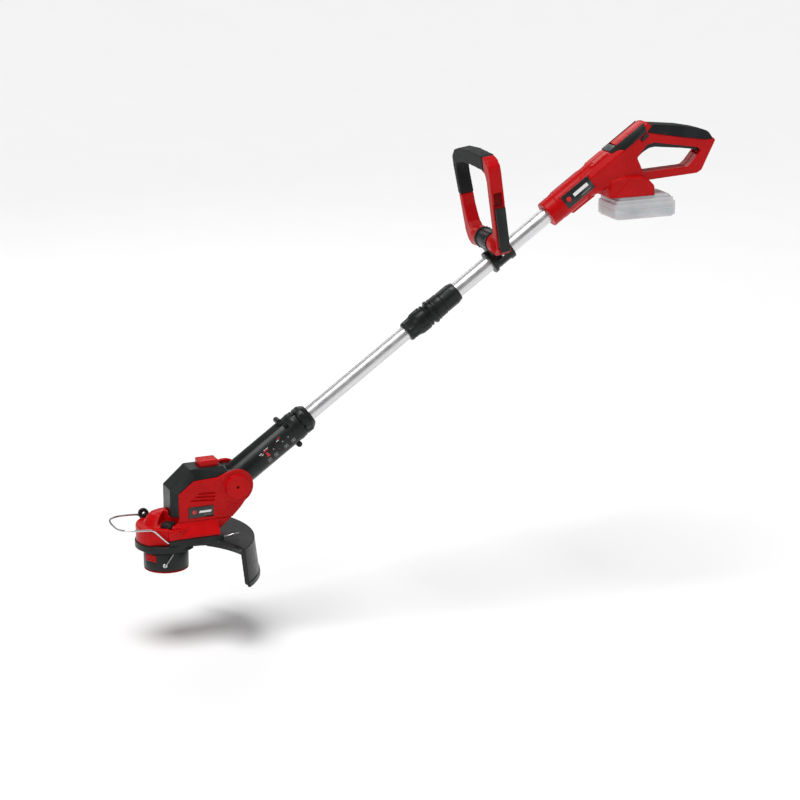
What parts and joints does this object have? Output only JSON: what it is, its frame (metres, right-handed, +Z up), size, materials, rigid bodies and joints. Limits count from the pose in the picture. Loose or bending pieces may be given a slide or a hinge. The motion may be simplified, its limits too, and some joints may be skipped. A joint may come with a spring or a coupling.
{
  "type": "string trimmer",
  "caption": "Battery string trimmer: tilting cutting head with guard and wire bumper, telescopic aluminium shaft, loop handle and rear grip with slide-on battery.",
  "frame": {"origin": "centre of the flat underside of the bump cap, on the spool axis", "axes": "+X from the cutting head towards the user's hand, +Y towards the far side of the tool, +Z up along the spool axis"},
  "size_m": [1.1187, 0.2288, 0.7175],
  "materials": {
    "red_plastic": "satin moulded",
    "black_plastic": "satin moulded",
    "soft_grip": "fine matt texture",
    "tube_metal": "brushed anodised",
    "steel": "bright drawn",
    "badge": "gloss",
    "battery_shell": "frosted",
    "circuit_board": "lacquered",
    "cell_wrap": "shrink film",
    "cable_jacket": "matt",
    "line_nylon": "translucent"
  },
  "bodies": {
    "handle": {"housing_near": "red_plastic", "housing_far": "red_plastic", "top_cap": "red_plastic", "trim_band": "black_plastic", "grip_rubber": "soft_grip", "handle_badges": "badge", "housing_screws": "steel", "control_board": "circuit_board", "trigger_switch": "black_plastic", "contact_block": "black_plastic", "handle_cable": "cable_jacket", "upper_tube": "tube_metal", "clamp_sleeve": "black_plastic"},
    "trigger": {"trigger": "black_plastic"},
    "lock_button": {"lock_button": "black_plastic"},
    "battery": {"battery_case": "battery_shell", "battery_lid": "battery_shell", "battery_cells": "cell_wrap"},
    "battery_latch": {"battery_latch": "battery_shell"},
    "clamp_nut": {"clamp_nut": "black_plastic"},
    "aux_clamp": {"aux_clamp_upper": "black_plastic", "aux_clamp_lower": "black_plastic", "aux_clamp_screws": "steel", "ratchet_discs": "black_plastic"},
    "aux_handle": {"aux_loop": "red_plastic", "aux_rubber": "soft_grip", "aux_bolt": "steel"},
    "aux_lever": {"aux_lever": "black_plastic"},
    "lower_shaft": {"lower_tube": "tube_metal", "tube_bush": "black_plastic", "coiled_cable": "cable_jacket"},
    "lock_collar": {"lock_collar": "black_plastic"},
    "neck": {"neck_near": "black_plastic", "neck_far": "black_plastic", "neck_screws": "steel"},
    "head": {"head_base": "red_plastic", "head_shell_near": "red_plastic", "head_shell_far": "red_plastic", "motor_cap": "black_plastic", "pivot_bolt": "steel", "motor_can": "steel", "guard": "black_plastic", "line_cutter": "steel", "head_screws": "steel", "wire_clip": "black_plastic", "head_badges": "badge"},
    "tilt_button": {"tilt_button": "red_plastic"},
    "wire_button": {"wire_button": "black_plastic"},
    "wire_guard": {"wire_guard": "steel"},
    "spool": {"rotor": "steel", "spool_cover": "black_plastic", "eyelet": "steel", "trimmer_line": "line_nylon"},
    "spool_latch_near": {"spool_latch_near": "red_plastic"},
    "spool_latch_far": {"spool_latch_far": "red_plastic"},
    "bump_cap": {"bump_cap": "red_plastic", "bump_spring": "steel"},
    "line_reel": {"line_reel": "black_plastic", "line_coil": "line_nylon"}
  },
  "joints": [
    {"name": "trigger_pull", "type": "hinge", "parent": "handle", "child": "trigger", "pos_m": [0.996, 0, 0.657], "axis": [0, 1, 0], "range_deg": [0, 3], "stiffness_Nm_per_rad": 2, "springref_deg": -2.86},
    {"name": "lock_push", "type": "slide", "parent": "handle", "child": "lock_button", "axis": [0, 1, 0], "range_m": [-0.003, 0.003], "stiffness_N_per_m": 400},
    {"name": "battery_slide", "type": "slide", "parent": "handle", "child": "battery", "axis": [1, 0, 0], "range_m": [0, 0.1]},
    {"name": "battery_latch_press", "type": "slide", "parent": "battery", "child": "battery_latch", "axis": [-1, 0, 0], "range_m": [0, 0.0025], "stiffness_N_per_m": 400},
    {"name": "nut_twist", "type": "hinge", "parent": "handle", "child": "clamp_nut", "pos_m": [0.46004, 0, 0.3799], "axis": [0.8192, 0, 0.5736], "range_deg": [0, 60]},
    {"name": "aux_slide", "type": "slide", "parent": "handle", "child": "aux_clamp", "axis": [0.8192, 0, 0.5736], "range_m": [-0.06, 0.07]},
    {"name": "aux_tilt", "type": "hinge", "parent": "aux_clamp", "child": "aux_handle", "pos_m": [0.59536, 0, 0.51616], "axis": [0, 1, 0], "range_deg": [-60, 40]},
    {"name": "lever_flip", "type": "hinge", "parent": "aux_handle", "child": "aux_lever", "pos_m": [0.59633, -0.0615, 0.50923], "axis": [0.9903, 0, 0.1392], "range_deg": [0, 100]},
    {"name": "telescope", "type": "slide", "parent": "handle", "child": "lower_shaft", "axis": [0.8192, 0, 0.5736], "range_m": [0, 0.16]},
    {"name": "collar_lift", "type": "slide", "parent": "lower_shaft", "child": "lock_collar", "axis": [0.8192, 0, 0.5736], "range_m": [0, 0.005], "stiffness_N_per_m": 400},
    {"name": "neck_turn", "type": "hinge", "parent": "lower_shaft", "child": "neck", "pos_m": [0.116, 0, 0.139], "axis": [0.8192, 0, 0.5736], "range_deg": [0, 180]},
    {"name": "head_tilt", "type": "hinge", "parent": "neck", "child": "head", "pos_m": [0.116, 0, 0.139], "axis": [0, 1, 0], "range_deg": [-15, 28]},
    {"name": "tilt_press", "type": "slide", "parent": "head", "child": "tilt_button", "axis": [0, 0, -1], "range_m": [0, 0.003], "stiffness_N_per_m": 500, "springref_m": -0.003},
    {"name": "wire_press", "type": "slide", "parent": "head", "child": "wire_button", "axis": [0, 0, -1], "range_m": [0, 0.0025], "stiffness_N_per_m": 500, "springref_m": -0.003},
    {"name": "wire_slide", "type": "slide", "parent": "head", "child": "wire_guard", "axis": [-1, 0, 0], "range_m": [0, 0.055]},
    {"name": "spool_spin", "type": "hinge", "parent": "head", "child": "spool", "pos_m": [0, 0, 0.03], "axis": [0, 0, 1], "continuous": true},
    {"name": "latch_near_press", "type": "slide", "parent": "spool", "child": "spool_latch_near", "axis": [0.866, 0.5, 0], "range_m": [0, 0.0015], "stiffness_N_per_m": 400},
    {"name": "latch_far_press", "type": "slide", "parent": "spool", "child": "spool_latch_far", "axis": [-0.866, -0.5, 0], "range_m": [0, 0.0015], "stiffness_N_per_m": 400},
    {"name": "bump_press", "type": "slide", "parent": "spool", "child": "bump_cap", "axis": [0, 0, 1], "range_m": [0, 0.002], "stiffness_N_per_m": 600, "deforming": ["bump_spring"]},
    {"name": "reel_turn", "type": "hinge", "parent": "bump_cap", "child": "line_reel", "pos_m": [0, 0, 0.012], "axis": [0, 0, 1], "continuous": true}
  ]
}
